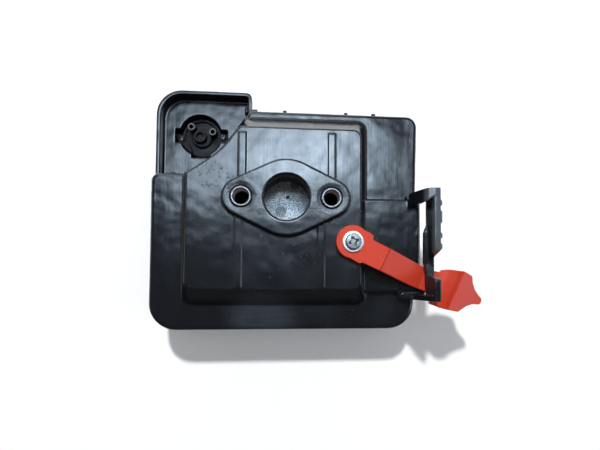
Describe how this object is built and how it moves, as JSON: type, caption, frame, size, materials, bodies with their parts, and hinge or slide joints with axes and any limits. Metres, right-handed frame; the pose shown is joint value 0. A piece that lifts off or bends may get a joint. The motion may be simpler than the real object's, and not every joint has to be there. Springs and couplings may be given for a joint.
{
  "type": "air filter housing",
  "caption": "Flat moulded air filter housing with a diamond carburettor flange, a red choke lever under an arch, an inner shutter, a foam element and a clip-on cover with a corner knob.",
  "frame": {"origin": "middle of the bottom of the bounding box, with the housing lying on its front cover", "axes": "+Z out of the carburettor flange, away from the front cover; +X from the intake bore towards the lever's arch; +Y towards the snap tabs, away from the hooks and inlet slots"},
  "size_m": [0.1614, 0.1222, 0.056],
  "materials": {
    "black_moulding": "semi-gloss moulded polypropylene",
    "black_matt": "matt moulded",
    "speckled_grey": "spark-eroded mould texture with grey flecks",
    "red_moulding": "semi-gloss moulded",
    "collar_steel": "turned steel",
    "dull_steel": "dull plated steel",
    "zinc_plate": "bright zinc plate",
    "filter_foam": "open-cell foam",
    "seal_foam": "closed-cell strip"
  },
  "bodies": {
    "case": {"case": "black_moulding", "cover_seal": "seal_foam", "collar_left": "collar_steel", "collar_right": "collar_steel", "element_grid": "black_matt", "grid_screw_1": "zinc_plate", "grid_screw_2": "zinc_plate", "grid_screw_3": "zinc_plate", "grid_screw_4": "zinc_plate", "wave_washer": "collar_steel"},
    "choke": {"choke_lever": "red_moulding", "choke_shutter": "speckled_grey", "pivot_washer": "zinc_plate", "pivot_screw": "zinc_plate"},
    "cover": {"cover": "black_moulding", "foam_element": "filter_foam", "knob_retainer": "black_matt", "knob_screw_left": "dull_steel", "knob_screw_right": "dull_steel"},
    "knob": {"fuel_knob": "black_matt"}
  },
  "joints": [
    {"name": "choke_swing", "type": "hinge", "parent": "case", "child": "choke", "pos_m": [0.01657, -0.01773, 0.046], "axis": [0, 0, 1], "range_deg": [0, 45]},
    {"name": "cover_open", "type": "hinge", "parent": "cover", "child": "case", "pos_m": [0, -0.05922, 0.0171], "axis": [1, 0, 0], "range_deg": [0, 60]},
    {"name": "knob_turn", "type": "hinge", "parent": "cover", "child": "knob", "pos_m": [-0.06023, 0.04017, 0.006], "axis": [0, 0, -1], "range_deg": [0, 90]}
  ]
}
